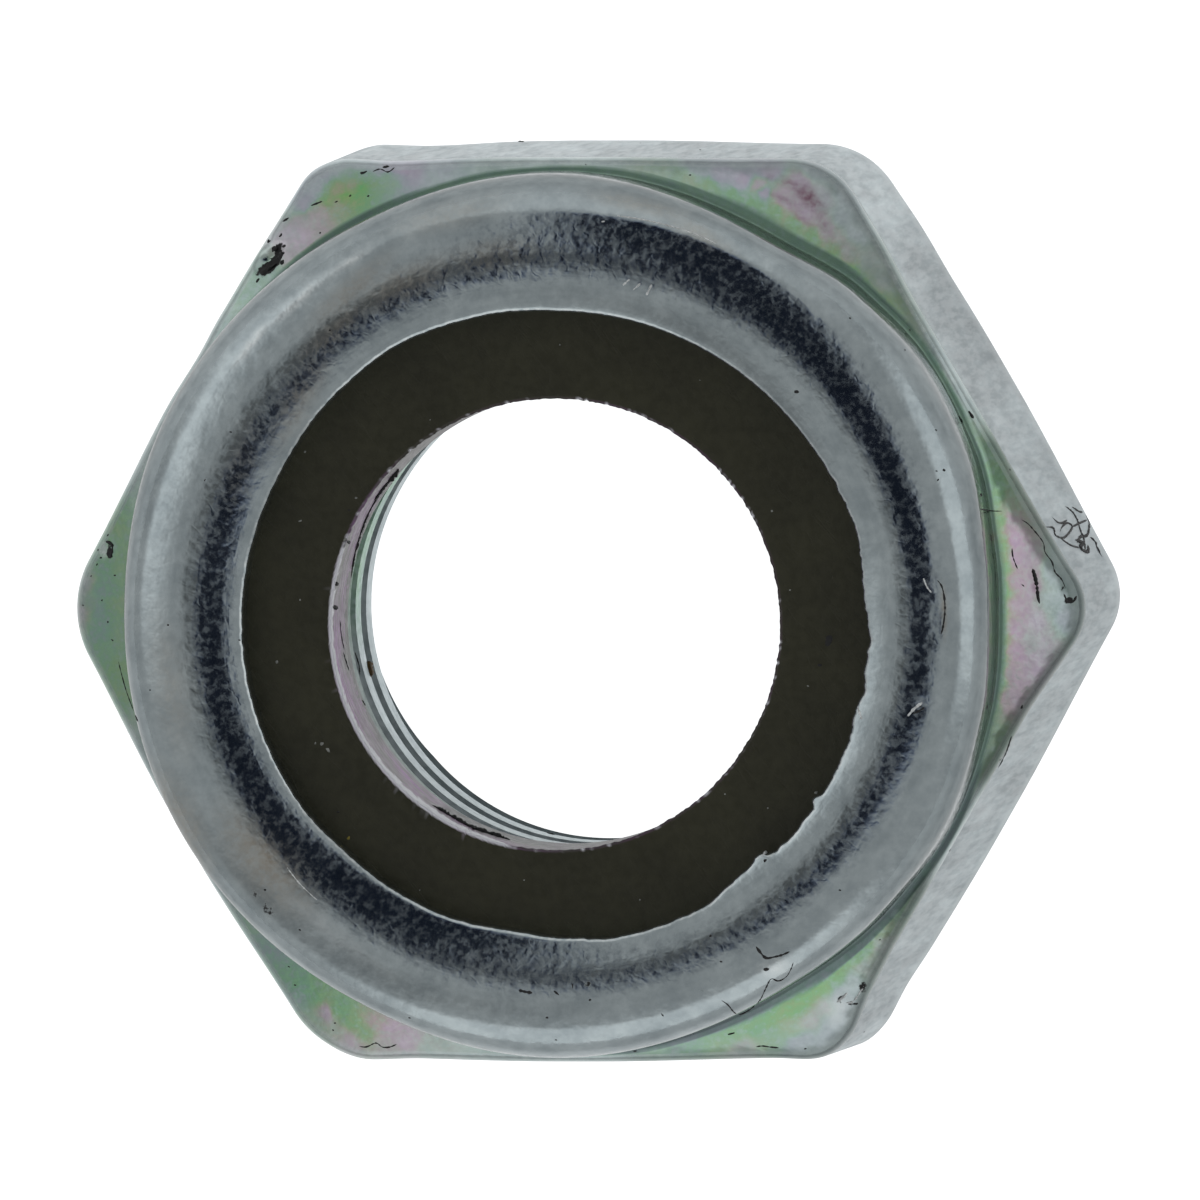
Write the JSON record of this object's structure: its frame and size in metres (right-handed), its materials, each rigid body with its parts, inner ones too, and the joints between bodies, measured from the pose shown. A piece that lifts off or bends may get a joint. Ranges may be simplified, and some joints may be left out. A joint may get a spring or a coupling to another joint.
{
  "type": "nylon insert lock nut",
  "caption": "Hexagonal lock nut with a rolled collar that holds a plain nylon ring, which grips the bolt's thread and keeps the nut from shaking loose.",
  "frame": {"origin": "centre of the bearing face, where the thread axis leaves the nut", "axes": "+Z along the thread axis from the bearing face to the collar; two flats face +Y and -Y, and two corners point along +X and -X"},
  "size_m": [0.0148, 0.013, 0.008],
  "materials": {
    "steel": "zinc plated, satin, with a thin rainbow film on the shoulder",
    "nylon": "dark, smooth, lightly scratched"
  },
  "bodies": {
    "root": {"nut_body": "steel", "nylon_insert": "nylon"}
  },
  "joints": []
}
